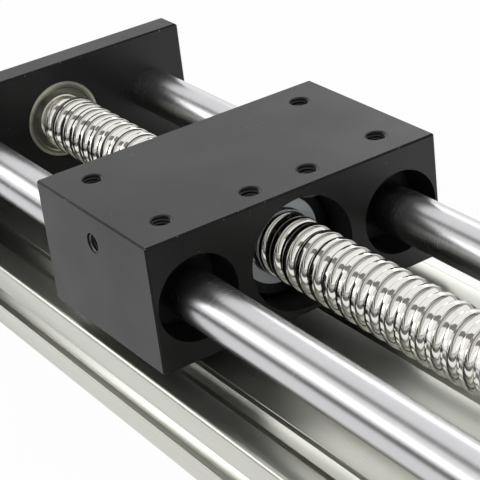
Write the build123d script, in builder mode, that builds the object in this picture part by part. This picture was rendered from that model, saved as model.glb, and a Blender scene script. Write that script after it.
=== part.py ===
from build123d import *
from math import cos, radians, sin, sqrt
import os

os.makedirs("parts", exist_ok=True)

# Ball screw linear module.
# X runs across the module, Y along the screw with the motor end at -Y, Z up.
# The origin is the centre of the base's underside. All sizes are in millimetres.

# Layout
stroke = 200.0               # travel of the carriage
end_margin = 5.0             # block to end plate at either end of the stroke
rest_gap = 64.5              # block to idle end plate as the module is drawn
shaft_spacing = 57.0         # between the two guide shafts
edge_break = 0.4             # chamfer on machined edges
ring_chamfer = 0.3           # corners of the bearing rings

# Base, a T-slot extrusion of square cells side by side
cell = 20.0
cell_count = 4
slot_mouth = 6.2
slot_cavity = 11.0
slot_lip = 1.8
slot_depth = 6.1
web = 1.5                    # thickness of the diagonal webs
core_bore_radius = 2.1
base_corner_radius = 1.2
tapped_end_depth = 16.0      # thread cut in each end of a core bore

# Carriage block
bearing_side_wall = 1.0      # from a bearing bore to the side of the block
block_length = 50.0
block_gap = 4.5              # underside of the block to the top of the base
wall_under_nut = 1.5
wall_over_nut = 2.5
top_hole_spacing_x = 60.0
top_hole_inset = 9.5
top_hole_depth = 5.5         # blind, so that a screw can't reach the bearing below
nut_hole_spacing = 16.0
nut_hole_inset = 6.9
side_hole_rise = 8.9         # above the axis of the shafts
nut_screw_depth = 1.5        # nut screws below the top of the block
nut_screw_reach = 4.0        # their tips below the top of the nut, before its end
nut_lip_length = 2.0         # lip of the block behind the nut
nut_lip_height = 1.6

# Round parts
screw_radius = 8.0
lead = 5.0                   # right-hand, of the ball track
track_root = 6.62            # bottom of the track from the axis
screw_ball_radius = 1.5875
track_run_in = 0.5           # start of the track before the end of the thick part
shaft_radius = 6.0
nut_radius = 14.0
nut_bore_gap = 0.5
wiper_radius = 10.8
wiper_thickness = 3.0
wiper_recess = 0.2
wiper_gap = 0.1
sleeve_radius = 10.5
sleeve_length = 30.0
sleeve_wall = 1.6
sleeve_groove_width = 1.3
sleeve_groove_depth = 0.5
sleeve_groove_spacing = 21.7
seal_thickness = 2.0
retainer_gap = 0.3
retainer_wall = 2.4
ball_track_count = 4
ball_track_length = 18.0
ball_track_width = 2.4

# Fits
seat_gap = 0.02              # round pieces pressed or glued in place
thread_gap = 0.05            # screw shank in its tapped hole
race_gap = 0.04              # radius of a race over that of its ball
ring_gap = 0.05              # end of a bearing ring short of its neighbour
screw_hole_gap = 0.25        # screw shank in a clearance hole

# Screws: radius of the thread, radius and height of the head, hexagon across flats
m4 = {"thread": 2.0, "head": 3.5, "height": 4.0, "key": 3.0}
m5 = {"thread": 2.5, "head": 4.25, "height": 5.0, "key": 4.0}
set_screw_key = 2.5
thread_mouth = 0.25          # chamfer at the mouth of a tapped hole

# Idle end plate and its deep groove bearing
idle_plate_thickness = 8.0
plate_fillet = 1.0
idle_journal_radius = 5.0
idle_bearing_radius = 11.0
idle_bearing_width = 6.0
idle_ball_radius = 1.5875
idle_relief_radius = 6.5     # turned relief between thread and bearing
idle_relief_length = 1.5
shield_thickness = 0.3
shield_recess = 0.35         # shield below the face of its bearing
shield_gap = 0.15
circlip_thickness = 1.0
circlip_wall = 1.9
circlip_opening = 60.0       # degrees
idle_window_gap = 1.2        # hole behind the idle bearing, less than its outer radius

# Drive end plate and its pair of angular contact bearings
drive_plate_thickness = 20.0
drive_journal_radius = 6.0
drive_bearing_radius = 14.0
drive_bearing_width = 8.0
drive_ball_radius = 2.381
drive_window_gap = 2.0
shoulder_share = 0.6         # race shoulder from the pitch circle, of the ball's radius
cover_width = 46.0
cover_height = 32.0
cover_thickness = 5.0
cover_screw_spacing_x = 35.0
cover_screw_spacing_z = 22.0
cover_bore_radius = 10.0
spacer_radius = 8.0
spacer_length = 6.0
lock_nut_radius = 11.0
lock_nut_length = 8.0
lock_nut_slots = 4
lock_nut_slot_width = 3.0
lock_nut_slot_depth = 1.4
base_screw_length = 18.0
clamp_screw_length = 5.0

# Coupling and motor plate
output_journal_radius = 5.0
output_journal_length = 15.0
coupling_radius = 12.5
coupling_hub_length = 11.0
coupling_jaw_length = 8.0
coupling_jaw_count = 3
coupling_start = 4.5         # lock nut to coupling
spider_hole_radius = 3.4
spider_ring_radius = 5.2
spider_arm = 3.2
spider_gap = 0.1
hub_set_screw_length = 6.0
motor_shaft_radius = 3.175
standoff_radius = 6.0
standoff_length = 50.0
standoff_stud_length = 10.0
standoff_spacing_x = 66.0
standoff_drop = 15.0         # lower pair below the axis of the screw
standoff_rise = 10.0         # upper pair above it
motor_plate_thickness = 8.0
motor_plate_height = 60.0
motor_pilot_radius = 19.07
motor_hole_spacing = 47.14
motor_screw_length = 14.0
standoff_tap_depth = 12.0

# Places that follow from the sizes above
base_width = cell * cell_count
block_bottom = cell + block_gap
axis_height = block_bottom + wall_under_nut + nut_radius
block_top = axis_height + nut_radius + wall_over_nut
base_length = stroke + block_length + 2 * end_margin
idle_face = base_length / 2
drive_face = -base_length / 2
idle_outer = idle_face + idle_plate_thickness
drive_outer = drive_face - drive_plate_thickness
block_rear = idle_face - rest_gap
block_front = block_rear - block_length
block_middle = (block_front + block_rear) / 2
shaft_x = shaft_spacing / 2
block_width = shaft_spacing + 2 * (sleeve_radius + bearing_side_wall)
core_places = [((i - (cell_count - 1) / 2) * cell, cell / 2) for i in range(cell_count)]
standoff_places = [
    (side * standoff_spacing_x / 2, z)
    for side in (-1, 1)
    for z in (axis_height - standoff_drop, axis_height + standoff_rise)
]
screw_shoulder = drive_outer + 2 * drive_bearing_width
spacer_end = drive_outer - spacer_length
lock_nut_end = spacer_end - lock_nut_length
coupling_face = lock_nut_end - coupling_start
spider_face = coupling_face - coupling_hub_length
motor_hub_face = spider_face - coupling_jaw_length
output_end = lock_nut_end - output_journal_length
motor_plate_face = drive_outer - standoff_length
motor_plate_outer = motor_plate_face - motor_plate_thickness
nut_front = block_front + nut_hole_inset + m5["thread"]
nut_rear = block_rear - nut_lip_length
track_start = screw_shoulder - track_run_in
track_end = idle_face - idle_relief_length + lead / 2
track_radius = screw_ball_radius + race_gap


def facing_drive_end(y):
    """Plane across the module at y, seen from the motor end: its Z points to -Y."""
    return Plane(origin=(0, y, 0), x_dir=(1, 0, 0), z_dir=(0, -1, 0))


def facing_idle_end(y):
    """Plane across the module at y, seen from the idle end: its Z points to +Y."""
    return Plane(origin=(0, y, 0), x_dir=(-1, 0, 0), z_dir=(0, 1, 0))


def finish(part, label):
    """Name a finished piece and write it to its own file."""
    part.label = label
    export_step(part, f"parts/{label}.step")


def turned(outline, x=0.0):
    """A turned piece on the axis at x, from (radius, y) corners listed in order."""
    with BuildPart() as piece:
        with BuildSketch(Plane.XY.offset(axis_height)):
            with BuildLine():
                Polyline([(x + radius, y) for radius, y in outline], close=True)
            make_face()
        revolve(axis=Axis((x, 0, axis_height), (0, 1, 0)))
    return piece.part


def cap_screw(size, length):
    """Socket head screw: head above its own XY plane, shank below it."""
    with BuildPart() as screw:
        with BuildSketch(Plane.XY.offset(-length)):
            Circle(size["thread"] - thread_gap)
        extrude(amount=length)
        with BuildSketch():
            Circle(size["head"])
        extrude(amount=size["height"])
        chamfer(screw.edges().sort_by(Axis.Z)[-1], length=edge_break)
        with BuildSketch(Plane.XY.offset(size["height"])):
            RegularPolygon(size["key"] / 2, 6, major_radius=False)
        extrude(amount=-size["height"] / 2, mode=Mode.SUBTRACT)
    return screw.part


def set_screw(size, length):
    """Headless screw that stands on its own XY plane, hexagon socket at the top."""
    with BuildPart() as screw:
        with BuildSketch():
            Circle(size["thread"] - thread_gap)
        extrude(amount=length)
        chamfer(screw.edges().filter_by(GeomType.CIRCLE), length=edge_break)
        with BuildSketch(Plane.XY.offset(length)):
            RegularPolygon(set_screw_key / 2, 6, major_radius=False)
        extrude(amount=-length / 2, mode=Mode.SUBTRACT)
    return screw.part


def bearing_ring(bore_radius, outer_radius, start, width, pitch_radius, ball_radius):
    """One ring of a ball bearing with its race, on the screw's axis."""
    with BuildPart() as ring:
        with BuildSketch(Plane.XY.offset(axis_height)) as section:
            with Locations(((bore_radius + outer_radius) / 2, start + width / 2)):
                Rectangle(outer_radius - bore_radius, width - 2 * ring_gap)
            chamfer(section.vertices(), length=ring_chamfer)
            with Locations((pitch_radius, start + width / 2)):
                Circle(ball_radius + race_gap, mode=Mode.SUBTRACT)
        revolve(axis=Axis((0, 0, axis_height), (0, 1, 0)))
    return ring.part


# Base: four square cells of T-slot extrusion in one piece
slot_floor = cell / 2 - slot_depth
web_offset = web / 2 * sqrt(2)
floor_half = slot_floor - web_offset
knee = slot_cavity / 2 + web_offset
lip_inside = cell / 2 - slot_lip
with BuildSketch() as slot:
    with BuildLine():
        half_slot = Polyline(
            (0, cell),
            (slot_mouth / 2, cell),
            (slot_mouth / 2, lip_inside),
            (slot_cavity / 2, lip_inside),
            (slot_cavity / 2, knee),
            (floor_half, slot_floor),
            (0, slot_floor),
        )
        mirror(half_slot, about=Plane.YZ)
    make_face()

# Six-sided hollow between neighbouring cells
chamber_flat = cell / 2 - lip_inside - web_offset
with BuildSketch() as chamber:
    with BuildLine():
        quarter = Polyline(
            (slot_depth, 0),
            (slot_depth, floor_half),
            (chamber_flat, lip_inside),
            (0, lip_inside),
        )
        half_chamber = mirror(quarter, about=Plane.YZ)
        mirror(quarter, about=Plane.XZ)
        mirror(half_chamber, about=Plane.XZ)
    make_face()

with BuildPart() as base_extrusion:
    with BuildSketch(facing_idle_end(drive_face)):
        with Locations((0, cell / 2)):
            RectangleRounded(base_width, cell, base_corner_radius)
        with Locations(*core_places):
            add(slot.sketch, mode=Mode.SUBTRACT)
            add(slot.sketch, rotation=180, mode=Mode.SUBTRACT)
            Circle(core_bore_radius, mode=Mode.SUBTRACT)
        with Locations(core_places[0]):
            add(slot.sketch, rotation=90, mode=Mode.SUBTRACT)
        with Locations(core_places[-1]):
            add(slot.sketch, rotation=-90, mode=Mode.SUBTRACT)
        with Locations(*[(x + cell / 2, z) for x, z in core_places[:-1]]):
            add(chamber.sketch, mode=Mode.SUBTRACT)
    extrude(amount=base_length)
    for end in (facing_idle_end(idle_face), facing_drive_end(drive_face)):
        with Locations(end):
            with Locations(*core_places):
                Hole(m5["thread"], depth=tapped_end_depth)
finish(base_extrusion.part, "base_extrusion")

# Idle end plate: bearing seat open to the inside, shafts right through
with BuildPart() as idle_end_plate:
    with BuildSketch(facing_idle_end(idle_face)):
        with Locations((0, block_top / 2)):
            Rectangle(base_width, block_top)
    extrude(amount=idle_plate_thickness)
    fillet(idle_end_plate.edges().filter_by(Axis.Y), radius=plate_fillet)
    chamfer(idle_end_plate.faces().filter_by(Axis.Y).edges(), length=edge_break)
    with Locations(facing_drive_end(idle_face)):
        with Locations((0, axis_height)):
            Hole(idle_bearing_radius + seat_gap, depth=idle_bearing_width)
            Hole(idle_bearing_radius - idle_window_gap)
        with Locations((-shaft_x, axis_height), (shaft_x, axis_height)):
            Hole(shaft_radius + seat_gap)
    with Locations(facing_idle_end(idle_outer)):
        with Locations(*core_places):
            CounterBoreHole(m5["thread"] + screw_hole_gap, m5["head"] + screw_hole_gap, m5["height"])
    for side in (-1, 1):
        with Locations(Plane(origin=(side * base_width / 2, (idle_face + idle_outer) / 2, axis_height),
                             z_dir=(side, 0, 0))):
            Hole(m5["thread"], depth=base_width / 2 - shaft_x)
finish(idle_end_plate.part, "idle_end_plate")

# Drive end plate: a thick plate that holds the bearing pair
with BuildPart() as drive_end_plate:
    with BuildSketch(facing_drive_end(drive_face)):
        with Locations((0, block_top / 2)):
            Rectangle(base_width, block_top)
    extrude(amount=drive_plate_thickness)
    fillet(drive_end_plate.edges().filter_by(Axis.Y), radius=plate_fillet)
    chamfer(drive_end_plate.faces().filter_by(Axis.Y).edges(), length=edge_break)
    with Locations(facing_drive_end(drive_outer)):
        with Locations((0, axis_height)):
            Hole(drive_bearing_radius + seat_gap, depth=2 * drive_bearing_width)
            Hole(drive_bearing_radius - drive_window_gap)
            with GridLocations(cover_screw_spacing_x, cover_screw_spacing_z, 2, 2):
                Hole(m4["thread"], depth=drive_plate_thickness / 2)
        with Locations((-shaft_x, axis_height), (shaft_x, axis_height)):
            Hole(shaft_radius + seat_gap)
        with Locations(*core_places):
            CounterBoreHole(m5["thread"] + screw_hole_gap, m5["head"] + screw_hole_gap,
                            drive_plate_thickness - idle_plate_thickness + m5["height"])
        with Locations(*standoff_places):
            Hole(m5["thread"], depth=standoff_stud_length + screw_hole_gap)
    for side in (-1, 1):
        with Locations(Plane(origin=(side * base_width / 2, (drive_face + drive_outer) / 2, axis_height),
                             z_dir=(side, 0, 0))):
            Hole(m5["thread"], depth=base_width / 2 - shaft_x)
finish(drive_end_plate.part, "drive_end_plate")

# Screws that hold the end plates to the base, and the shafts in the plates
with BuildPart() as end_plate_screws:
    grip = idle_plate_thickness - m5["height"]
    for plane in (facing_idle_end(idle_face + grip), facing_drive_end(drive_face - grip)):
        with Locations(plane):
            with Locations(*core_places):
                add(cap_screw(m5, base_screw_length))
finish(end_plate_screws.part, "end_plate_screws")

with BuildPart() as shaft_clamp_screws:
    for y in ((idle_face + idle_outer) / 2, (drive_face + drive_outer) / 2):
        for side in (-1, 1):
            with Locations(Plane(origin=(side * (shaft_x + shaft_radius), y, axis_height),
                                 z_dir=(side, 0, 0))):
                add(set_screw(m5, clamp_screw_length))
finish(shaft_clamp_screws.part, "shaft_clamp_screws")

# Guide shafts, flush with the outer faces of the end plates
for name, x in (("guide_shaft_left", -shaft_x), ("guide_shaft_right", shaft_x)):
    shaft = turned([
        (0, drive_outer), (shaft_radius - edge_break, drive_outer), (shaft_radius, drive_outer + edge_break),
        (shaft_radius, idle_outer - edge_break), (shaft_radius - edge_break, idle_outer), (0, idle_outer),
    ], x)
    finish(shaft, name)

# Ball screw: a turned bar with its journals, and the ball track wound round it
circlip_start = idle_face + idle_bearing_width
circlip_groove_radius = idle_journal_radius - circlip_wall / 4
with BuildPart() as ball_screw:
    add(turned([
        (0, output_end),
        (output_journal_radius - edge_break, output_end),
        (output_journal_radius, output_end + edge_break),
        (output_journal_radius, lock_nut_end - edge_break),
        (drive_journal_radius, lock_nut_end - edge_break),
        (drive_journal_radius, screw_shoulder),
        (screw_radius - edge_break, screw_shoulder),
        (screw_radius, screw_shoulder + edge_break),
        (screw_radius, idle_face - idle_relief_length - edge_break),
        (screw_radius - edge_break, idle_face - idle_relief_length),
        (idle_relief_radius, idle_face - idle_relief_length),
        (idle_relief_radius, idle_face),
        (idle_journal_radius, idle_face),
        (idle_journal_radius, circlip_start),
        (circlip_groove_radius, circlip_start),
        (circlip_groove_radius, circlip_start + circlip_thickness),
        (idle_journal_radius, circlip_start + circlip_thickness),
        (idle_journal_radius, idle_outer - edge_break),
        (idle_journal_radius - edge_break, idle_outer),
        (0, idle_outer),
    ]))
    with BuildLine():
        track = Helix(pitch=lead, height=track_end - track_start, radius=track_root + track_radius,
                      center=(0, track_start, axis_height), direction=(0, 1, 0))
    with BuildSketch(Plane(origin=track @ 0, z_dir=track % 0)):
        Circle(track_radius)
    sweep(path=track, is_frenet=True, mode=Mode.SUBTRACT)
finish(ball_screw.part, "ball_screw")

# Idle bearing
idle_pitch = (idle_journal_radius + idle_bearing_radius) / 2
idle_shoulder = idle_ball_radius * shoulder_share
idle_inner_edge = idle_pitch - idle_shoulder
idle_outer_edge = idle_pitch + idle_shoulder
finish(
    bearing_ring(idle_outer_edge, idle_bearing_radius, idle_face, idle_bearing_width, idle_pitch,
                 idle_ball_radius),
    "idle_bearing_outer_ring",
)
finish(
    bearing_ring(idle_journal_radius + seat_gap, idle_inner_edge, idle_face, idle_bearing_width, idle_pitch,
                 idle_ball_radius),
    "idle_bearing_inner_ring",
)
with BuildPart() as idle_bearing_shields:
    for plane in (
        facing_drive_end(idle_face + shield_recess + shield_thickness),
        facing_idle_end(circlip_start - shield_recess - shield_thickness),
    ):
        with BuildSketch(plane):
            with Locations((0, axis_height)):
                Circle(idle_outer_edge - seat_gap)
                Circle(idle_inner_edge + shield_gap, mode=Mode.SUBTRACT)
        extrude(amount=shield_thickness)
finish(idle_bearing_shields.part, "idle_bearing_shields")

with BuildPart() as idle_circlip:
    with BuildSketch(facing_idle_end(circlip_start)):
        with Locations((0, axis_height)):
            Circle(circlip_groove_radius + seat_gap + circlip_wall)
            Circle(circlip_groove_radius + seat_gap, mode=Mode.SUBTRACT)
            reach = 2 * idle_bearing_radius
            half = radians(circlip_opening / 2)
            Polygon((0, 0), (reach * sin(half), reach * cos(half)), (-reach * sin(half), reach * cos(half)),
                    align=None, mode=Mode.SUBTRACT)
    extrude(amount=circlip_thickness)
finish(idle_circlip.part, "idle_circlip")

# Drive bearings, a pair face to face in the drive end plate
drive_pitch = (drive_journal_radius + drive_bearing_radius) / 2
drive_shoulder = drive_ball_radius * shoulder_share
with BuildPart() as drive_bearing_outer_rings:
    for start in (drive_outer, drive_outer + drive_bearing_width):
        add(bearing_ring(drive_pitch + drive_shoulder, drive_bearing_radius, start, drive_bearing_width,
                         drive_pitch, drive_ball_radius))
finish(drive_bearing_outer_rings.part, "drive_bearing_outer_rings")
with BuildPart() as drive_bearing_inner_rings:
    for start in (drive_outer, drive_outer + drive_bearing_width):
        add(bearing_ring(drive_journal_radius + seat_gap, drive_pitch - drive_shoulder, start,
                         drive_bearing_width, drive_pitch, drive_ball_radius))
finish(drive_bearing_inner_rings.part, "drive_bearing_inner_rings")

# Cover that holds the drive bearings in, and its screws
with BuildPart() as bearing_cover:
    with BuildSketch(facing_drive_end(drive_outer)):
        with Locations((0, axis_height)):
            Rectangle(cover_width, cover_height)
    extrude(amount=cover_thickness)
    fillet(bearing_cover.edges().filter_by(Axis.Y), radius=m4["head"])
    with Locations(facing_drive_end(drive_outer - cover_thickness)):
        with Locations((0, axis_height)):
            Hole(cover_bore_radius)
            with GridLocations(cover_screw_spacing_x, cover_screw_spacing_z, 2, 2):
                CounterBoreHole(m4["thread"] + screw_hole_gap, m4["head"] + screw_hole_gap,
                                cover_thickness / 2)
finish(bearing_cover.part, "bearing_cover")

with BuildPart() as cover_screws:
    with Locations(facing_drive_end(drive_outer - cover_thickness / 2)):
        with Locations((0, axis_height)):
            with GridLocations(cover_screw_spacing_x, cover_screw_spacing_z, 2, 2):
                add(cap_screw(m4, drive_plate_thickness / 2))
finish(cover_screws.part, "cover_screws")

# Spacer collar and slotted lock nut on the screw
finish(
    turned([
        (drive_journal_radius + seat_gap, drive_outer), (spacer_radius, drive_outer),
        (spacer_radius, spacer_end), (drive_journal_radius + seat_gap, spacer_end),
    ]),
    "spacer_collar",
)
with BuildPart() as lock_nut:
    with BuildSketch(facing_drive_end(spacer_end)):
        with Locations((0, axis_height)):
            Circle(lock_nut_radius)
            Circle(drive_journal_radius + seat_gap, mode=Mode.SUBTRACT)
            with PolarLocations(lock_nut_radius, lock_nut_slots):
                Rectangle(2 * lock_nut_slot_depth, lock_nut_slot_width, mode=Mode.SUBTRACT)
    extrude(amount=lock_nut_length)
finish(lock_nut.part, "lock_nut")


def coupling_hub(jaws_plane, bore_radius):
    """One half of the jaw coupling: the collar lies behind the plane, the jaws before it."""
    pitch_angle = 360 / (2 * coupling_jaw_count)
    reach = 2 * coupling_radius
    half = radians(pitch_angle / 2)
    arm_space = spider_arm + 2 * spider_gap
    with BuildPart() as hub:
        with BuildSketch(jaws_plane):
            with Locations((0, axis_height)):
                Circle(coupling_radius)
                Circle(bore_radius, mode=Mode.SUBTRACT)
        extrude(amount=-coupling_hub_length)
        chamfer(hub.edges().filter_by(GeomType.CIRCLE), length=edge_break)
        with BuildSketch(jaws_plane):
            with Locations((0, axis_height)):
                Circle(coupling_radius)
                Circle(spider_ring_radius + spider_gap, mode=Mode.SUBTRACT)
                with PolarLocations(reach / 2, 2 * coupling_jaw_count, start_angle=pitch_angle / 2):
                    Rectangle(reach, arm_space, mode=Mode.SUBTRACT)
                with PolarLocations(0, coupling_jaw_count, start_angle=pitch_angle):
                    Polygon((0, 0), (reach * cos(half), -reach * sin(half)),
                            (reach * cos(half), reach * sin(half)), align=None, mode=Mode.SUBTRACT)
        extrude(amount=coupling_jaw_length - spider_gap)
        with Locations(jaws_plane.offset(-coupling_hub_length / 2)):
            with Locations(Location((0, axis_height + coupling_radius, 0), (-90, 0, 0))):
                Hole(m4["thread"], depth=coupling_radius)
    return hub.part


# Coupling: two hubs whose jaws interlock round an elastic spider
finish(coupling_hub(facing_drive_end(spider_face), output_journal_radius + seat_gap), "coupling_screw_hub")
finish(coupling_hub(facing_idle_end(motor_hub_face), motor_shaft_radius), "coupling_motor_hub")

with BuildPart() as coupling_spider:
    with BuildSketch(facing_drive_end(spider_face - spider_gap)):
        with Locations((0, axis_height)):
            Circle(spider_ring_radius)
            with PolarLocations(coupling_radius / 2, 2 * coupling_jaw_count,
                                start_angle=90 / coupling_jaw_count):
                Rectangle(coupling_radius - edge_break, spider_arm)
            Circle(spider_hole_radius, mode=Mode.SUBTRACT)
    extrude(amount=coupling_jaw_length - 2 * spider_gap)
finish(coupling_spider.part, "coupling_spider")

with BuildPart() as coupling_set_screws:
    for y, shaft in (
        (coupling_face - coupling_hub_length / 2, output_journal_radius),
        (motor_hub_face - coupling_hub_length / 2, motor_shaft_radius),
    ):
        with Locations(Plane(origin=(0, y, axis_height + shaft), z_dir=(0, 0, 1))):
            add(set_screw(m4, hub_set_screw_length))
finish(coupling_set_screws.part, "coupling_set_screws")

# Motor plate on four stand-offs
with BuildPart() as standoffs:
    with Locations(facing_drive_end(drive_outer)):
        with Locations(*standoff_places):
            Cylinder(standoff_radius, standoff_length, align=(Align.CENTER, Align.CENTER, Align.MIN))
    chamfer(standoffs.edges().filter_by(GeomType.CIRCLE), length=edge_break)
    with Locations(facing_idle_end(drive_outer)):
        with Locations(*standoff_places):
            Cylinder(m5["thread"] - thread_gap, standoff_stud_length,
                     align=(Align.CENTER, Align.CENTER, Align.MIN))
    with Locations(facing_drive_end(motor_plate_face)):
        with Locations(*standoff_places):
            Hole(m5["thread"], depth=standoff_tap_depth)
finish(standoffs.part, "standoffs")

with BuildPart() as motor_plate:
    with BuildSketch(facing_drive_end(motor_plate_face)):
        with Locations((0, axis_height)):
            Rectangle(base_width, motor_plate_height)
    extrude(amount=motor_plate_thickness)
    fillet(motor_plate.edges().filter_by(Axis.Y), radius=3 * plate_fillet)
    chamfer(motor_plate.faces().filter_by(Axis.Y).edges(), length=edge_break)
    with Locations(facing_drive_end(motor_plate_outer)):
        with Locations((0, axis_height)):
            Hole(motor_pilot_radius)
            with GridLocations(motor_hole_spacing, motor_hole_spacing, 2, 2):
                Hole(m5["thread"])
        with Locations(*standoff_places):
            CounterBoreHole(m5["thread"] + screw_hole_gap, m5["head"] + screw_hole_gap, m5["height"])
finish(motor_plate.part, "motor_plate")

with BuildPart() as motor_plate_screws:
    with Locations(facing_drive_end(motor_plate_outer + m5["height"])):
        with Locations(*standoff_places):
            add(cap_screw(m5, motor_screw_length))
finish(motor_plate_screws.part, "motor_plate_screws")

# Carriage block
top_holes = [
    (side * top_hole_spacing_x / 2, y)
    for side in (-1, 1)
    for y in (block_front + top_hole_inset, block_rear - top_hole_inset)
]
nut_holes = [(side * nut_hole_spacing / 2, block_front + nut_hole_inset) for side in (-1, 1)]
with BuildPart() as carriage_block:
    with BuildSketch(Plane.XY.offset(block_bottom)):
        with Locations((0, block_middle)):
            Rectangle(block_width, block_length)
    extrude(amount=block_top - block_bottom)
    chamfer(carriage_block.edges(), length=edge_break)
    with Locations(facing_drive_end(block_front)):
        with Locations((0, axis_height)):
            Hole(nut_radius + seat_gap, depth=block_length - nut_lip_length)
            Hole(nut_radius - nut_lip_height)
        with Locations((-shaft_x, axis_height), (shaft_x, axis_height)):
            Hole(sleeve_radius + seat_gap)
    with Locations(Plane.XY.offset(block_top)):
        with Locations(*top_holes):
            CounterSinkHole(m5["thread"], m5["thread"] + thread_mouth, depth=top_hole_depth)
        with Locations(*nut_holes):
            CounterSinkHole(m5["thread"], m5["thread"] + thread_mouth, depth=block_top - axis_height)
    for side in (-1, 1):
        with Locations(Plane(origin=(side * block_width / 2, block_middle, axis_height + side_hole_rise),
                             z_dir=(side, 0, 0))):
            Hole(m5["thread"], depth=block_width / 2 - shaft_x)
finish(carriage_block.part, "carriage_block")

# Ball nut with a wiper in each end
nut_bore = screw_radius + nut_bore_gap
wiper_seat = wiper_recess + wiper_thickness
finish(
    turned([
        (nut_bore, nut_front + wiper_seat),
        (wiper_radius, nut_front + wiper_seat),
        (wiper_radius, nut_front + edge_break),
        (wiper_radius + edge_break, nut_front),
        (nut_radius - 2 * edge_break, nut_front),
        (nut_radius, nut_front + 2 * edge_break),
        (nut_radius, nut_rear - 2 * edge_break),
        (nut_radius - 2 * edge_break, nut_rear),
        (wiper_radius + edge_break, nut_rear),
        (wiper_radius, nut_rear - edge_break),
        (wiper_radius, nut_rear - wiper_seat),
        (nut_bore, nut_rear - wiper_seat),
    ]),
    "ball_nut",
)
for name, start in (
    ("nut_wiper_front", nut_front + wiper_recess),
    ("nut_wiper_rear", nut_rear - wiper_seat),
):
    finish(
        turned([
            (screw_radius + wiper_gap, start), (wiper_radius - seat_gap, start),
            (wiper_radius - seat_gap, start + wiper_thickness),
            (screw_radius + wiper_gap, start + wiper_thickness),
        ]),
        name,
    )

# Screws whose tips stand before the nut's end and hold it against the lip of the block
nut_screw_tip = axis_height + nut_radius - nut_screw_reach
with BuildPart() as nut_set_screws:
    for x, y in nut_holes:
        with Locations((x, y, nut_screw_tip)):
            add(set_screw(m5, block_top - nut_screw_depth - nut_screw_tip))
finish(nut_set_screws.part, "nut_set_screws")

# Linear ball bearings: sleeve, ball retainer and two seals on each shaft
sleeve_front = block_middle - sleeve_length / 2
sleeve_rear = block_middle + sleeve_length / 2
groove_front = block_middle - sleeve_groove_spacing / 2
groove_rear = block_middle + sleeve_groove_spacing / 2
sleeve_inner = sleeve_radius - sleeve_wall
for name, x in (("left", -shaft_x), ("right", shaft_x)):
    finish(
        turned([
            (sleeve_inner, sleeve_front), (sleeve_radius - edge_break, sleeve_front),
            (sleeve_radius, sleeve_front + edge_break),
            (sleeve_radius, groove_front - sleeve_groove_width / 2),
            (sleeve_radius - sleeve_groove_depth, groove_front - sleeve_groove_width / 2),
            (sleeve_radius - sleeve_groove_depth, groove_front + sleeve_groove_width / 2),
            (sleeve_radius, groove_front + sleeve_groove_width / 2),
            (sleeve_radius, groove_rear - sleeve_groove_width / 2),
            (sleeve_radius - sleeve_groove_depth, groove_rear - sleeve_groove_width / 2),
            (sleeve_radius - sleeve_groove_depth, groove_rear + sleeve_groove_width / 2),
            (sleeve_radius, groove_rear + sleeve_groove_width / 2),
            (sleeve_radius, sleeve_rear - edge_break),
            (sleeve_radius - edge_break, sleeve_rear), (sleeve_inner, sleeve_rear),
        ], x),
        f"linear_bearing_sleeve_{name}",
    )
    with BuildPart() as retainer:
        with Locations(facing_idle_end(sleeve_front + seal_thickness)):
            with Locations((-x, axis_height)):
                Cylinder(shaft_radius + retainer_gap + retainer_wall, sleeve_length - 2 * seal_thickness,
                         align=(Align.CENTER, Align.CENTER, Align.MIN))
                Cylinder(shaft_radius + retainer_gap, sleeve_length, mode=Mode.SUBTRACT,
                         align=(Align.CENTER, Align.CENTER, Align.MIN))
        for track in range(ball_track_count):
            angle = radians(360 / ball_track_count * (track + 0.5))
            with BuildSketch(Plane(
                origin=(x, block_middle, axis_height), x_dir=(0, 1, 0), z_dir=(cos(angle), 0, sin(angle)),
            )):
                SlotOverall(ball_track_length, ball_track_width)
            extrude(amount=2 * sleeve_radius, mode=Mode.SUBTRACT)
    finish(retainer.part, f"ball_retainer_{name}")
    with BuildPart() as seals:
        for start in (sleeve_front, sleeve_rear - seal_thickness):
            with BuildSketch(facing_idle_end(start)):
                with Locations((-x, axis_height)):
                    Circle(sleeve_inner - seat_gap)
                    Circle(shaft_radius + wiper_gap, mode=Mode.SUBTRACT)
            extrude(amount=seal_thickness)
    finish(seals.part, f"bearing_seals_{name}")
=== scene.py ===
from math import ceil, pi, radians, sqrt

import bmesh
import bpy
from mathutils import Matrix, Vector


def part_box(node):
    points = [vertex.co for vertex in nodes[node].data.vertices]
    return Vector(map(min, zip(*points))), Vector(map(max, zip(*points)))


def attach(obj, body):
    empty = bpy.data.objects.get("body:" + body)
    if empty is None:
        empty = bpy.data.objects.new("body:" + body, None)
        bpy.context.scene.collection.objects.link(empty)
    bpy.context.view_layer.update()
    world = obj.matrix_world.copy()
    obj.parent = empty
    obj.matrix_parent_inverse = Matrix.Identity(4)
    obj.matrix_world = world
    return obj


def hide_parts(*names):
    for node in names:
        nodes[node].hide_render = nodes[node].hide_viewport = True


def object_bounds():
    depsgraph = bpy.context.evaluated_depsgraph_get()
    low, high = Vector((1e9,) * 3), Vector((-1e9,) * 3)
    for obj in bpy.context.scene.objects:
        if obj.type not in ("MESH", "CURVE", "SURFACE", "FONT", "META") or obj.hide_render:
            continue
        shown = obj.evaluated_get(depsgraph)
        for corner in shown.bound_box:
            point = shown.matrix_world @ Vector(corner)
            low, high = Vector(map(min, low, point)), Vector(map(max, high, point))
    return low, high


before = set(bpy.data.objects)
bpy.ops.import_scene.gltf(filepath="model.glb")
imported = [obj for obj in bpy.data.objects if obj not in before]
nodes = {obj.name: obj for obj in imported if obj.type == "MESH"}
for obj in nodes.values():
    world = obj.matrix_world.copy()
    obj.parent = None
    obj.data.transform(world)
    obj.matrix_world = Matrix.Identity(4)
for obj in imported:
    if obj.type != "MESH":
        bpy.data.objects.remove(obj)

cad_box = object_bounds()
mm = 0.001


# Places taken from the solids

def low(node):
    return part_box(node)[0]


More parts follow.
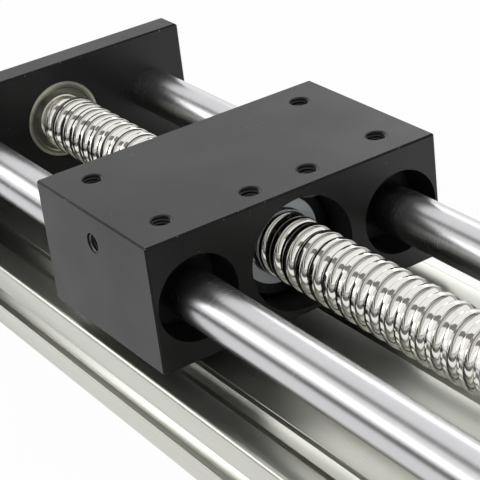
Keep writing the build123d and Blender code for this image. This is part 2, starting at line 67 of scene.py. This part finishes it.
def high(node):
    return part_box(node)[1]


axis_height = (low("guide_shaft_left").z + high("guide_shaft_left").z) / 2
block_top = high("carriage_block").z
block_front = low("carriage_block").y
block_rear = high("carriage_block").y
block_side = high("carriage_block").x


# Sizes that no box of a solid gives

screw_radius = 8.0 * mm
lead = 5.0 * mm
ball_radius = 1.5875 * mm
track_clearance = 0.04 * mm           # between a ball and the track
track_radius = ball_radius + track_clearance
track_root = 6.62 * mm                # from the screw's axis to the bottom of the track
land_crown = 0.10 * mm                # fall of a land's edges below its middle
land_rounding = 0.4 * mm
track_start = 0.5 * mm + 0.75 * lead  # before the thread's front end, so that the turns lie as in the solid
collar_length = 3.4 * mm              # from the thread's rear end to the idle plate, with the shoulder
collar_chamfer = 0.2 * mm
idle_shoulder_length = 0.2 * mm       # in front of the idle plate
idle_shoulder_radius = 6.5 * mm
idle_journal_radius = 5.0 * mm
circlip_groove_radius = 4.55 * mm
circlip_groove_width = 1.0 * mm
drive_bearing_width = 8.0 * mm
drive_seat_radius = 6.0 * mm
drive_seat_chamfer = 0.4 * mm
drive_journal_radius = 5.0 * mm
nut_thread_clearance = 0.5 * mm       # from the seat's end to the lock nut
journal_end_break = 0.4 * mm
extrusion_rounding = 0.28 * mm

thread_pitch = 0.8 * mm
hole_radius = 2.5 * mm
ridge_height = 0.38 * mm
ridge_foot = 0.03 * mm                # of a ridge inside its hole's wall
thread_mouth = 0.25 * mm              # from the face to the first ridge
corner_hole_x = 30.0 * mm
corner_hole_y = 9.5 * mm              # from the front and rear faces
nut_hole_x = 8.0 * mm
nut_hole_y = 6.9 * mm                 # from the front face
side_hole_z = 48.9 * mm
corner_thread_depth = 4.6 * mm
nut_thread_depth = 1.2 * mm
side_thread_depth = 3.0 * mm

merge_gap = 0.002 * mm                # vertices closer than this become one
smooth_limit = radians(35)            # edges sharper than this stay sharp in the shading


# Shader arithmetic

class Value:
    """One output in a finish's node tree. Arithmetic on it adds Math nodes."""

    def __init__(self, finish, socket):
        self.finish = finish
        self.socket = socket

    def math(self, operation, *values):
        return self.finish.node("ShaderNodeMath", values, operation=operation)

    def __add__(self, other):
        return self.math("ADD", self, other)

    __radd__ = __add__

    def __sub__(self, other):
        return self.math("SUBTRACT", self, other)

    def __rsub__(self, other):
        return self.math("SUBTRACT", other, self)

    def __mul__(self, other):
        return self.math("MULTIPLY", self, other)

    __rmul__ = __mul__

    def __truediv__(self, other):
        return self.math("DIVIDE", self, other)

    def __pow__(self, other):
        return self.math("POWER", self, other)

    def __abs__(self):
        return self.math("ABSOLUTE", self)

    def least(self, other):
        return self.math("MINIMUM", self, other)

    def most(self, other):
        return self.math("MAXIMUM", self, other)

    def step(self, start, end):
        """0 below start and 1 above end, with a soft change between them."""
        return self.finish.node("ShaderNodeMapRange", {"Value": self, "From Min": start, "From Max": end},
                                interpolation_type="SMOOTHSTEP")


class Finish:
    """A surface finish: a material whose nodes are added one by one."""

    def __init__(self, name):
        self.material = bpy.data.materials.new(name)
        self.material.use_nodes = True
        self.tree = self.material.node_tree
        self.tree.nodes.clear()

    def node(self, kind, values=(), output=0, **settings):
        """Adds a node with its input values and settings, and gives the output of that number or name."""
        node = self.tree.nodes.new(kind)
        for key, setting in settings.items():
            setattr(node, key, setting)
        for key, value in values.items() if isinstance(values, dict) else enumerate(values):
            if isinstance(value, Value):
                self.tree.links.new(value.socket, node.inputs[key])
            else:
                node.inputs[key].default_value = value
        return Value(self, node.outputs[output]) if node.outputs else None

    def place(self, centre):
        """Object coordinates in metres, counted from the centre."""
        spot = self.node("ShaderNodeTexCoord", output="Object")
        return self.node("ShaderNodeMapping", {"Vector": spot, "Location": [-c for c in centre]})

    def along(self, axis, vector):
        return self.node("ShaderNodeSeparateXYZ", [vector], output=axis)

    def noise(self, size, stretch=(1, 1, 1), detail=3.0, roughness=0.55, seed=0.0):
        """Noise from about 0 to 1 with grains of the given size in metres, longer along a stretched axis."""
        scale = [1 / (size * s) for s in stretch]
        spot = self.node("ShaderNodeTexCoord", output="Object")
        spot = self.node("ShaderNodeMapping", {
            "Vector": spot, "Location": (seed, -seed, 2 * seed), "Scale": scale})
        return self.node("ShaderNodeTexNoise", {
            "Vector": spot, "Scale": 1.0, "Detail": detail, "Roughness": roughness})

    def blend(self, mask, first, second):
        """A colour from first to second as the mask goes from 0 to 1."""
        return self.node("ShaderNodeMix", {0: mask, 6: first, 7: second}, output=2, data_type="RGBA")

    def bump(self, height, depth, normal=None):
        values = {"Height": height, "Distance": depth, "Strength": 1.0}
        if normal:
            values["Normal"] = normal
        return self.node("ShaderNodeBump", values)

    def surface(self, **values):
        """Ends the finish with a Principled surface; an underscore in a name stands for a space."""
        values = {key.replace("_", " "): value for key, value in values.items()}
        shader = self.node("ShaderNodeBsdfPrincipled", values)
        self.node("ShaderNodeOutputMaterial", [shader])
        return self.material


def grey(value):
    return (value, value, value, 1)


def tinted(tint, share=1.0):
    """A colour with the given share of a tint's brightness."""
    return [share * t for t in tint] + [1]


# Finishes

def black_anodised(name, corners):
    """Black anodised aluminium, bead blasted, with a painted dark reflection along its edges and pale nicks on a
    box of these corners.
    """
    painted_edge_width = 0.50 * mm
    f = Finish(name)
    centre = (corners[0] + corners[1]) / 2
    half = (corners[1] - corners[0]) / 2
    spot = f.place(centre=centre)
    gaps = [half[i] - abs(f.along(i, spot)) for i in range(3)]
    nearest = gaps[0].least(gaps[1]).least(gaps[2])
    # Distance to the nearest edge, which is the second of the three distances to the faces
    spread = gaps[0] + gaps[1] + gaps[2] - nearest - gaps[0].most(gaps[1]).most(gaps[2])
    patches = f.noise(4 * mm, detail=4.0, seed=1.7).step(0.46, 0.68)
    fine = f.noise(0.35 * mm, detail=2.0)
    # Painted dark reflection: a band 0.5 mm wide along every edge of the box
    edge = 1 - spread.step(painted_edge_width - 0.12 * mm, painted_edge_width)
    rub = (1 - spread.step(0.05 * mm, 0.25 * mm)) * patches
    nicks = f.noise(0.9 * mm, detail=3.0, seed=5.1).step(0.66, 0.73)
    nicks = (1 - spread.step(0.2 * mm, 1.1 * mm)) * nicks
    cloud = f.noise(16 * mm, detail=3.0, seed=0.4)
    dusty = f.noise(7 * mm, seed=2.2).step(0.45, 0.65)
    dust = f.noise(0.5 * mm, detail=1.0, seed=3.3).step(0.76, 0.80) * dusty
    colour = f.blend(cloud, (0.0045, 0.0045, 0.0050, 1), (0.0085, 0.0085, 0.0090, 1))
    # Painted dark reflection: the edge band gets a near black colour
    colour = f.blend(edge, colour, grey(0.016))
    colour = f.blend(0.35 * rub, colour, grey(0.11))
    colour = f.blend((0.8 * nicks).most(0.5 * dust), colour, (0.5, 0.49, 0.47, 1))
    rough = 0.31 + 0.16 * cloud + 0.05 * fine
    normal = f.bump(fine, 0.006 * mm, f.bump(cloud, 0.02 * mm))
    # Painted dark reflection: the edge band is made metallic, so that it mirrors less than the anodised faces
    metal = (0.35 * nicks).most(0.9 * edge)
    return f.surface(Base_Color=colour, Roughness=rough, Metallic=metal, Normal=normal, IOR=1.50)


def extruded_aluminium():
    """Silver anodised extrusion with die lines along Y."""
    f = Finish("extruded_silver_anodised")
    lines = f.noise(0.18 * mm, stretch=(1, 900, 1), detail=4.0, roughness=0.7)
    bands = f.noise(1.6 * mm, stretch=(1, 260, 1), detail=2.0, seed=2.0)
    satin = f.noise(0.12 * mm, detail=1.0, seed=4.0)
    smudge = f.noise(12 * mm, stretch=(1, 2.2, 1), detail=4.0, seed=7.0)
    specks = f.noise(0.6 * mm, detail=1.0, seed=9.0).step(0.80, 0.83)
    colour = f.blend(bands, (0.63, 0.635, 0.58, 1), (0.73, 0.735, 0.67, 1))
    colour = f.blend(0.35 * lines, colour, (0.43, 0.425, 0.40, 1))
    colour = f.blend(0.7 * specks, colour, (0.2, 0.19, 0.17, 1))
    rough = 0.20 + 0.10 * lines + 0.10 * smudge
    normal = f.bump(lines, 0.006 * mm, f.bump(satin, 0.002 * mm))
    return f.surface(Base_Color=colour, Roughness=rough, Metallic=0.96, Normal=normal)


def ground_steel(name, tint, rough, depth, stretch, wear=0.25, sawn_ends=False):
    """Hard steel with fine marks, longer along a stretched axis, and duller faces at its sawn ends."""
    f = Finish(name)
    marks = f.noise(0.09 * mm, stretch=stretch, detail=3.0, roughness=0.6)
    film = f.noise(9 * mm, detail=4.0, seed=3.0)
    stain = f.noise(2.2 * mm, detail=5.0, seed=6.0).step(0.55, 0.85)
    colour = f.blend(film, tinted(tint, 0.90), tinted(tint))
    colour = f.blend(wear * stain, colour, tinted(tint, 0.62))
    if sawn_ends:
        end_face = abs(f.along(1, f.node("ShaderNodeNewGeometry", output="Normal"))).step(0.90, 0.95)
        colour = f.blend(end_face, colour, tinted(tint, 0.50))
        rough = rough + 0.22 * end_face
    return f.surface(Base_Color=colour, Roughness=rough * (1 + 0.3 * marks + 0.3 * film),
                     Metallic=1.0, Normal=f.bump(marks, depth))


def turned_steel(name, tint, rough, ring=0.22 * mm, depth=0.0035 * mm, rim=0.0):
    """Steel or aluminium with lathe rings round the screw's axis, with painted shade inside the radius of its
    rim.
    """
    f = Finish(name)
    spot = f.place(centre=(0, 0, axis_height))
    radius = (f.along(0, spot) ** 2 + f.along(2, spot) ** 2) ** 0.5
    travel = radius + f.along(1, spot)
    rings = f.node("ShaderNodeTexNoise", {
        "W": travel / ring, "Scale": 1.0, "Detail": 3.0, "Roughness": 0.6}, noise_dimensions="1D")
    film = f.noise(6 * mm, detail=4.0, seed=8.0)
    colour = f.blend(film, tinted(tint, 0.85), tinted(tint))
    if rim:
        # Painted shade: inside the rim's radius the colour falls to 0.42 of the tint
        colour = f.blend(radius.step(rim - 0.3 * mm, rim), tinted(tint, 0.42), colour)
    return f.surface(Base_Color=colour, Roughness=rough + 0.12 * rings + 0.08 * film, Metallic=1.0,
                     Normal=f.bump(rings, depth))


def coated_steel(name, tint, rough):
    """Black oxide or phosphate over steel, rubbed a little."""
    f = Finish(name)
    fine = f.noise(0.25 * mm, detail=3.0)
    cloud = f.noise(2.5 * mm, detail=4.0, seed=2.5)
    colour = f.blend(cloud, tinted(tint, 0.7), tinted(tint, 1.3))
    return f.surface(Base_Color=colour, Roughness=rough + 0.15 * fine, Metallic=0.55 + 0.2 * cloud,
                     Normal=f.bump(fine, 0.008 * mm))


def moulded(name, dark, pale, rough, depth=0.004 * mm, **constants):
    """Moulded plastic or rubber with a faint skin texture."""
    f = Finish(name)
    skin = f.noise(0.3 * mm, detail=3.0)
    flow = f.noise(5 * mm, stretch=(1, 2, 1), detail=3.0, seed=1.0)
    colour = f.blend(flow, tinted(dark), tinted(pale))
    return f.surface(Base_Color=colour, Roughness=rough + 0.12 * skin, Normal=f.bump(skin, depth), **constants)


extrusion_finish = extruded_aluminium()
shaft_finish = ground_steel("ground_shaft_steel", (0.68, 0.68, 0.695), 0.20, 0.0004 * mm, (60, 1, 60),
                            wear=0.10, sawn_ends=True)
screw_finish = ground_steel("polished_screw_steel", (0.87, 0.855, 0.815), 0.07, 0.0010 * mm, (40, 1.5, 40),
                            wear=0.35)
ring_finish = turned_steel("bearing_ring_steel", (0.84, 0.81, 0.70), 0.20, ring=0.12 * mm, depth=0.0015 * mm)
nut_finish = turned_steel("turned_nut_steel", (0.10, 0.10, 0.10), 0.30)
# Painted shade: the sleeves deep in the bores get a dark steel colour instead of their own pale steel
sleeve_painted_shade_finish = turned_steel("painted_shade_bearing_sleeve_steel", (0.11, 0.11, 0.105), 0.30)
collar_finish = turned_steel("turned_collar_steel", (0.60, 0.60, 0.61), 0.22)
hub_finish = turned_steel("turned_hub_aluminium", (0.76, 0.76, 0.77), 0.24)
standoff_finish = ground_steel("satin_standoff_aluminium", (0.74, 0.74, 0.73), 0.26, 0.003 * mm, (60, 1, 60),
                               sawn_ends=True)
phosphate_finish = coated_steel("phosphated_spring_steel", (0.07, 0.07, 0.075), 0.42)
oxide_finish = coated_steel("black_oxide_steel", (0.035, 0.035, 0.038), 0.30)
set_screw_finish = coated_steel("worn_set_screw_steel", (0.16, 0.155, 0.15), 0.22)
wiper_finish = moulded("white_wiper_plastic", (0.72, 0.74, 0.76), (0.84, 0.85, 0.86), 0.42,
                       Subsurface_Weight=0.1)
retainer_finish = moulded("black_retainer_plastic", (0.010, 0.010, 0.0105), (0.018, 0.018, 0.0185), 0.42)
seal_finish = moulded("seal_rubber", (0.008, 0.008, 0.008), (0.014, 0.014, 0.014), 0.52, depth=0.01 * mm)
spider_finish = moulded("spider_polyurethane", (0.42, 0.025, 0.02), (0.55, 0.05, 0.035), 0.34,
                        Coat_Weight=0.15)
thread_finish = coated_steel("tapped_thread_aluminium", (0.10, 0.10, 0.105), 0.24)
# The idle bearing's outer ring, with painted shade inside its rim
idle_ring_finish = turned_steel("ring_steel_painted_shade_inside_rim", (0.84, 0.82, 0.68), 0.20, ring=0.12 * mm,
                                depth=0.0015 * mm, rim=10.1 * mm)
shield_finish = turned_steel("bearing_shield_steel", (0.30, 0.31, 0.25), 0.22, ring=0.2 * mm, depth=0.0015 * mm)
carriage_finish = black_anodised("black_anodised_carriage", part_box("carriage_block"))
idle_plate_finish = black_anodised("black_anodised_idle_plate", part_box("idle_end_plate"))
drive_plate_finish = black_anodised("black_anodised_drive_plate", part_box("drive_end_plate"))
motor_plate_finish = black_anodised("black_anodised_motor_plate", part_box("motor_plate"))
cover_finish = black_anodised("black_anodised_cover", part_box("bearing_cover"))

finish_of = {
    "base_extrusion": extrusion_finish,
    "idle_end_plate": idle_plate_finish,
    "drive_end_plate": drive_plate_finish,
    "guide_shaft_left": shaft_finish,
    "guide_shaft_right": shaft_finish,
    "end_plate_screws": oxide_finish,
    "shaft_clamp_screws": oxide_finish,
    "idle_bearing_outer_ring": idle_ring_finish,
    "idle_bearing_shields": shield_finish,
    "drive_bearing_outer_rings": ring_finish,
    "bearing_cover": cover_finish,
    "cover_screws": oxide_finish,
    "standoffs": standoff_finish,
    "motor_plate": motor_plate_finish,
    "motor_plate_screws": oxide_finish,
    "ball_screw": screw_finish,
    "idle_bearing_inner_ring": ring_finish,
    "idle_circlip": phosphate_finish,
    "drive_bearing_inner_rings": ring_finish,
    "spacer_collar": collar_finish,
    "lock_nut": phosphate_finish,
    "coupling_screw_hub": hub_finish,
    "coupling_motor_hub": hub_finish,
    "coupling_spider": spider_finish,
    "coupling_set_screws": oxide_finish,
    "carriage_block": carriage_finish,
    "ball_nut": nut_finish,
    "nut_wiper_front": wiper_finish,
    "nut_wiper_rear": wiper_finish,
    "nut_set_screws": set_screw_finish,
    "linear_bearing_sleeve_left": sleeve_painted_shade_finish,
    "linear_bearing_sleeve_right": sleeve_painted_shade_finish,
    "ball_retainer_left": retainer_finish,
    "ball_retainer_right": retainer_finish,
    "bearing_seals_left": seal_finish,
    "bearing_seals_right": seal_finish,
}
for name, material in finish_of.items():
    nodes[name].data.materials.clear()
    nodes[name].data.materials.append(material)


# Modelling

def choose(piece):
    """Makes the piece the only selected one and the active one."""
    bpy.ops.object.select_all(action="DESELECT")
    piece.select_set(True)
    bpy.context.view_layer.objects.active = piece


def open_all(piece):
    """Opens the piece in edit mode with all of it selected."""
    choose(piece)
    bpy.ops.object.mode_set(mode="EDIT")
    bpy.ops.mesh.select_all(action="SELECT")


def close(piece):
    bpy.ops.object.mode_set(mode="OBJECT")
    return piece


def start(primitive, name, **options):
    """A new primitive with its place in its mesh, open in edit mode with nothing selected."""
    bpy.ops.object.select_all(action="DESELECT")
    primitive(**options)
    piece = bpy.context.object
    piece.name = name
    piece.data.name = name
    bpy.ops.object.transform_apply(location=True, rotation=True, scale=True)
    bpy.ops.object.mode_set(mode="EDIT")
    bpy.ops.mesh.select_all(action="DESELECT")
    return piece


def pick(piece, test):
    """Selects the vertices that pass the test and nothing else."""
    bpy.ops.mesh.select_all(action="DESELECT")
    bpy.ops.mesh.select_mode(type="VERT")
    mesh = bmesh.from_edit_mesh(piece.data)
    for vertex in mesh.verts:
        if test(vertex.co):
            vertex.select_set(True)
    bmesh.update_edit_mesh(piece.data)


def apply(piece, kind, **settings):
    """Adds a modifier and applies it at once."""
    choose(piece)
    bpy.ops.object.modifier_add(type=kind)
    modifier = piece.modifiers[-1]
    for key, value in settings.items():
        setattr(modifier, key, value)
    bpy.ops.object.modifier_apply(modifier=modifier.name)


def outline(name, points):
    """Edges from point to point in the XY plane: X is the radius and Y the place along the screw."""
    piece = start(bpy.ops.mesh.primitive_plane_add, name, size=mm)
    bpy.ops.mesh.select_all(action="SELECT")
    bpy.ops.mesh.merge(type="CENTER")
    bpy.ops.transform.translate(value=(*points[0], 0))
    for before, after in zip(points, points[1:]):
        step = (after[0] - before[0], after[1] - before[1], 0)
        bpy.ops.mesh.extrude_region_move(TRANSFORM_OT_translate={"value": step})
    return close(piece)


def round_axis(piece, steps=48, turns=1, pitch=0.0):
    """Turns an outline about the Y axis, with a rise of one pitch in each turn."""
    apply(piece, "SCREW", axis="Y", angle=2 * pi, steps=steps, render_steps=steps, iterations=turns,
          screw_offset=pitch, use_merge_vertices=not pitch, use_normal_calculate=True)
    open_all(piece)
    bpy.ops.mesh.remove_doubles(threshold=merge_gap)
    bpy.ops.mesh.normals_make_consistent(inside=False)
    return close(piece)


def cut(piece, where, away, fill=True):
    """Cuts the piece by a plane and drops the side that away points to."""
    open_all(piece)
    bpy.ops.mesh.bisect(plane_co=where, plane_no=away, use_fill=fill, clear_outer=True)
    return close(piece)


def shift(piece, offset):
    """Moves the mesh inside its object."""
    piece.data.transform(Matrix.Translation(offset))


def join(pieces, name):
    """Makes one piece of several, under one name."""
    choose(pieces[0])
    for piece in pieces:
        piece.select_set(True)
    bpy.ops.object.join()
    pieces[0].name = name
    pieces[0].data.name = name
    return pieces[0]


def hand_over(piece, material, slot, body, *replaced):
    """Gives a finished piece its material, its body and the solids that it stands for; the slot is not used."""
    piece.data.materials.clear()
    piece.data.materials.append(material)
    choose(piece)
    bpy.ops.object.shade_smooth_by_angle(angle=smooth_limit)
    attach(piece, body)
    if replaced:
        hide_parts(*replaced)


def turned(name, points):
    """A round piece on the screw's axis, turned from its outline."""
    piece = round_axis(outline(name, points))
    shift(piece, (0, 0, axis_height))
    return piece


def eased(node, width):
    """A copy of a solid whose sharp edges are rounded, as a worn die leaves them."""
    piece = nodes[node].copy()
    piece.data = nodes[node].data.copy()
    piece.name = f"{node}_eased"
    piece.data.name = piece.name
    bpy.context.collection.objects.link(piece)
    open_all(piece)
    bpy.ops.mesh.remove_doubles(threshold=merge_gap)
    bpy.ops.mesh.dissolve_limited(angle_limit=radians(0.5))
    close(piece)
    apply(piece, "BEVEL", width=width, segments=2, limit_method="ANGLE", angle_limit=radians(40),
          use_clamp_overlap=True)
    return piece


hand_over(eased("base_extrusion", extrusion_rounding), extrusion_finish, "silver_anodised", "base",
          "base_extrusion")


# Ball screw: a round ball track wound along the bar, and turned journals at both ends

def track_profile():
    """One pitch of the screw's surface beside the axis: the track, with half a crowned land on each side."""
    track_centre = track_root + track_radius
    half_track = sqrt(track_radius**2 - (track_centre - screw_radius)**2)
    at_land = screw_radius - 0.01 * mm
    near_edge = half_track - 0.05 * mm
    profile = start(bpy.ops.mesh.primitive_circle_add, "screw_track", vertices=44, radius=track_radius,
                    location=(track_centre, 0, 0))
    bpy.ops.mesh.select_all(action="SELECT")
    bpy.ops.mesh.bisect(plane_co=(screw_radius, 0, 0), plane_no=(1, 0, 0), clear_outer=True)
    for side in (-1, 1):
        pick(profile, lambda spot: spot.y * side > near_edge and spot.x > at_land)
        bpy.ops.mesh.extrude_region_move(
            TRANSFORM_OT_translate={"value": (0, side * (lead / 2 - half_track), 0)})
    pick(profile, lambda spot: near_edge < abs(spot.y) < half_track + 0.05 * mm and spot.x > at_land)
    bpy.ops.transform.translate(value=(-land_crown, 0, 0))
    bpy.ops.mesh.bevel(offset=land_rounding, segments=4, affect="VERTICES")
    return close(profile)


def ball_screw():
    front = low("drive_bearing_inner_rings").y + 2 * drive_bearing_width
    plate = high("base_extrusion").y
    collar = plate - collar_length
    thread = track_profile()
    turns = ceil((collar - front) / lead) + 2
    round_axis(thread, steps=40, turns=turns, pitch=lead)
    shift(thread, (0, front - track_start, axis_height))
    cut(thread, (0, front, 0), (0, -1, 0))
    cut(thread, (0, collar, 0), (0, 1, 0))

    end = low("ball_screw").y
    nut_end = low("lock_nut").y
    drive_journal = turned("drive_journal", [
        (0, end),
        (drive_journal_radius - journal_end_break, end),
        (drive_journal_radius, end + journal_end_break),
        (drive_journal_radius, nut_end - nut_thread_clearance),
        (drive_seat_radius - drive_seat_chamfer, nut_end - nut_thread_clearance),
        (drive_seat_radius, nut_end - nut_thread_clearance + drive_seat_chamfer),
        (drive_seat_radius, front),
        (0, front),
    ])

    face = plate - idle_shoulder_length
    groove_end = high("idle_circlip").y
    groove = groove_end - circlip_groove_width
    far = high("ball_screw").y
    idle_journal = turned("idle_journal", [
        (0, collar),
        (screw_radius, collar),
        (screw_radius, face - collar_chamfer),
        (screw_radius - collar_chamfer, face),
        (idle_shoulder_radius, face),
        (idle_shoulder_radius, plate),
        (idle_journal_radius, plate),
        (idle_journal_radius, groove),
        (circlip_groove_radius, groove),
        (circlip_groove_radius, groove_end),
        (idle_journal_radius, groove_end),
        (idle_journal_radius, far - journal_end_break),
        (idle_journal_radius - journal_end_break, far),
        (0, far),
    ])
    return join([thread, drive_journal, idle_journal], "ball_screw_with_track")


hand_over(ball_screw(), screw_finish, "screw_steel", "screw", "ball_screw")


# Threads of the tapped holes: a ridge wound just inside each hole's wall

def tapped_thread(name, depth):
    """A ridge that runs from the origin along Y as far as the depth."""
    foot = hole_radius + ridge_foot
    crest = hole_radius - ridge_height
    crest_start, crest_end, foot_end = (share * thread_pitch for share in (0.34, 0.46, 0.8))
    ridge = outline(name, [
        (foot, 0), (crest, crest_start), (crest, crest_end), (foot, foot_end), (foot, thread_pitch)])
    round_axis(ridge, steps=24, turns=ceil(depth / thread_pitch) + 2, pitch=thread_pitch)
    shift(ridge, (0, -1.2 * thread_pitch, 0))
    cut(ridge, (0, 0, 0), (0, -1, 0), fill=False)
    cut(ridge, (0, depth, 0), (0, 1, 0), fill=False)
    return ridge


def into(x, y, z, direction):
    """Places a thread's mouth at a point, so that it runs down its hole along the direction."""
    turn = Vector((0, 1, 0)).rotation_difference(Vector(direction))
    return Matrix.Translation((x, y, z)) @ turn.to_matrix().to_4x4()


def thread_set(name, places, depth):
    threads = []
    for place in places:
        thread = tapped_thread(name, depth)
        thread.data.transform(place)
        threads.append(thread)
    hand_over(join(threads, name), thread_finish, "black_anodised", "carriage")


down = (0, 0, -1)
top_mouth = block_top - thread_mouth
side_mouth = block_side - thread_mouth
block_middle = (block_front + block_rear) / 2
thread_set("corner_hole_threads", [
    into(side * corner_hole_x, y, top_mouth, down)
    for side in (-1, 1) for y in (block_front + corner_hole_y, block_rear - corner_hole_y)
], corner_thread_depth)
thread_set("nut_hole_threads", [
    into(side * nut_hole_x, block_front + nut_hole_y, top_mouth, down) for side in (-1, 1)
], nut_thread_depth)
thread_set("side_hole_threads", [
    into(side * side_mouth, block_middle, side_hole_z, (-side, 0, 0)) for side in (-1, 1)
], side_thread_depth)


# Stage: pale floor, lamps, dark cards and camera

floor_size = 8.0
floor_drop = 0.05 * mm
floor_paint = 0.80
floor_seen = 0.97            # share of white that the camera sees in the floor
floor_mirrored = 0.85        # share of white that a polished piece mirrors from it
world_light = 0.75           # strength of the world as a light
world_shown = 1.0            # its strength where it is seen or mirrored, which is white
camera_place = (-188.24 * mm, -274.97 * mm, 221.66 * mm)
camera_ahead = (0.4540, 0.7667, -0.4538)
camera_up = (0.3387, 0.3226, 0.8839)
sensor_width = 36.0          # in millimetres, like the focal length
focal_length = 128.39


def shown_rays(f):
    """How much of the floor is plain white: for the camera, also through glass, in a reflection, or else."""
    seen = f.node("ShaderNodeLightPath", output="Is Camera Ray")
    seen = seen.most(f.node("ShaderNodeLightPath", output="Is Transmission Ray"))
    return (floor_seen * seen).most(floor_mirrored * f.node("ShaderNodeLightPath", output="Is Glossy Ray"))


def stage_finish():
    f = Finish("pale_floor")
    paint = f.node("ShaderNodeBsdfDiffuse", {"Color": grey(floor_paint)})
    glow = f.node("ShaderNodeEmission", {"Color": grey(1.0), "Strength": 1.0})
    shader = f.node("ShaderNodeMixShader", [shown_rays(f), paint, glow])
    f.node("ShaderNodeOutputMaterial", [shader])
    return f.material


def card_finish(name, colour):
    f = Finish(name)
    f.node("ShaderNodeOutputMaterial", [f.node("ShaderNodeBsdfDiffuse", {"Color": colour})])
    return f.material


floor = start(bpy.ops.mesh.primitive_plane_add, "floor", size=floor_size,
              location=(0, 0, cad_box[0][2] - floor_drop))
bpy.ops.mesh.select_all(action="SELECT")
bpy.ops.mesh.subdivide(number_cuts=3)
close(floor)
floor.data.materials.append(stage_finish())


def card(name, place, size, turn, colour):
    """A card that shows only as a reflection in the polished pieces."""
    sheet = start(bpy.ops.mesh.primitive_plane_add, name, size=1.0)
    bpy.ops.mesh.select_all(action="SELECT")
    bpy.ops.mesh.subdivide(number_cuts=2)
    bpy.ops.transform.resize(value=(*size, 1))
    for axis, angle in zip("XYZ", turn):
        bpy.ops.transform.rotate(value=radians(angle), orient_axis=axis, center_override=(0, 0, 0))
    bpy.ops.transform.translate(value=place)
    close(sheet)
    sheet.data.materials.append(card_finish(name, colour))
    sheet.visible_camera = False
    sheet.visible_diffuse = False
    sheet.visible_shadow = False


card("overhead_gap", (-0.46, 1.6, 1.45), (0.50, 4.4), (0, 16, 0), (0.30, 0.29, 0.27, 1))
card("horizon_gap", (-0.22, 0.45, 0.034), (0.064, 1.3), (0, 90, 0), (0.03, 0.017, 0.011, 1))
card("room_behind_camera", (0, -1.3, 1.3), (5.0, 2.6), (90, 0, 0), (0.74, 0.73, 0.70, 1))
card("table_behind_camera", (0, -1.28, 0.14), (5.0, 0.28), (90, 0, 0), (0.14, 0.13, 0.12, 1))
card("person_behind_camera", (0, -1.26, 0.62), (5.0, 0.24), (90, 0, 0), (0.012, 0.011, 0.010, 1))


def studio_world():
    world = bpy.data.worlds.new("studio")
    bpy.context.scene.world = world
    world.use_nodes = True
    tree = world.node_tree
    tree.nodes.clear()
    light = tree.nodes.new("ShaderNodeLightPath")
    shown = tree.nodes.new("ShaderNodeMath")
    shown.operation = "MAXIMUM"
    tree.links.new(light.outputs["Is Camera Ray"], shown.inputs[0])
    tree.links.new(light.outputs["Is Glossy Ray"], shown.inputs[1])
    strength = tree.nodes.new("ShaderNodeMapRange")
    strength.inputs["To Min"].default_value = world_light
    strength.inputs["To Max"].default_value = world_shown
    tree.links.new(shown.outputs[0], strength.inputs["Value"])
    background = tree.nodes.new("ShaderNodeBackground")
    background.inputs["Color"].default_value = grey(1.0)
    tree.links.new(strength.outputs[0], background.inputs["Strength"])
    output = tree.nodes.new("ShaderNodeOutputWorld")
    tree.links.new(background.outputs[0], output.inputs[0])


def soft_box(name, place, target, width, height, radiance, mirrored=True):
    """A rectangular lamp of the given size, whose face has the given radiance, aimed at the target."""
    lamp = bpy.data.lights.new(name, "AREA")
    lamp.shape = "RECTANGLE"
    lamp.size = width
    lamp.size_y = height
    lamp.energy = radiance * pi * width * height
    holder = bpy.data.objects.new(name, lamp)
    bpy.context.collection.objects.link(holder)
    holder.location = place
    holder.rotation_euler = (Vector(target) - Vector(place)).to_track_quat("-Z", "Y").to_euler()
    holder.visible_glossy = mirrored


studio_world()
soft_box("left_back_soft_box", (-1.31, 1.92, 0.95), (0, 0.0, 0.04), 2.4, 0.50, 1.9)
soft_box("back_right_soft_box", (1.36, 1.30, 0.86), (0, 0.04, 0.04), 0.70, 0.34, 2.0)
soft_box("front_fill", (-0.9, -1.5, 0.7), (0, 0.0, 0.04), 1.2, 0.8, 1.6, mirrored=False)


def camera():
    """The camera of the photograph, from its solved perspective."""
    lens = bpy.data.cameras.new("camera")
    lens.sensor_width = sensor_width
    lens.lens = focal_length
    lens.clip_start = 0.01
    view = bpy.data.objects.new("camera", lens)
    bpy.context.collection.objects.link(view)
    ahead = Vector(camera_ahead).normalized()
    right = ahead.cross(Vector(camera_up)).normalized()
    turn = Matrix((right, right.cross(ahead), -ahead)).transposed().to_4x4()
    view.matrix_world = Matrix.Translation(camera_place) @ turn
    bpy.context.scene.camera = view


camera()
bpy.context.scene.view_settings.view_transform = "Standard"
